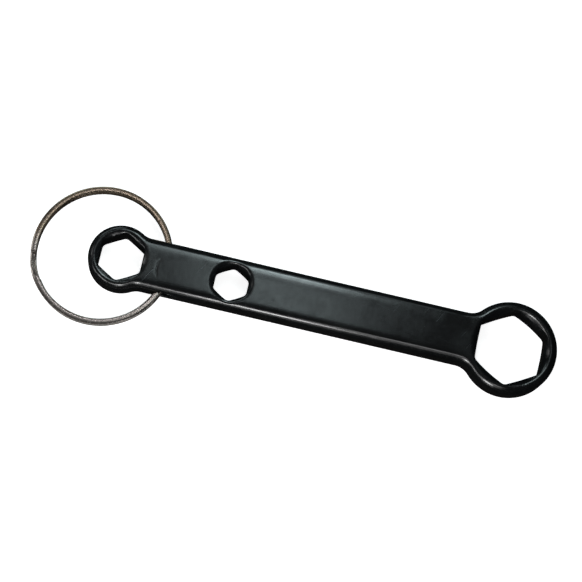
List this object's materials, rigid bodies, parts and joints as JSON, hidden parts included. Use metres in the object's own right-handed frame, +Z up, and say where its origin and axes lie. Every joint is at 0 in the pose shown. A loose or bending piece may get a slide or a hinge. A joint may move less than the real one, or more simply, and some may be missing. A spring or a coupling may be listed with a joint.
{
  "type": "fire hydrant wrench",
  "caption": "Flat one-piece wrench with a ring head at each end, hexagonal openings through heads and bar, and a split ring that swings in a cross hole.",
  "frame": {"origin": "middle of the object's footprint, on the surface that its flat back lies on", "axes": "+X along the bar towards the large head, +Z up out of the crowned front face"},
  "size_m": [0.1775, 0.0472, 0.0101],
  "materials": {
    "black_coating": "satin",
    "nickel_plating": "polished"
  },
  "bodies": {
    "wrench": {"wrench_body": "black_coating"},
    "ring": {"split_ring": "nickel_plating"}
  },
  "joints": [
    {"name": "ring_swing", "type": "hinge", "parent": "wrench", "child": "ring", "pos_m": [-0.0432, 0, 0.00475], "axis": [0, 1, 0], "range_deg": [-167, 174]}
  ]
}
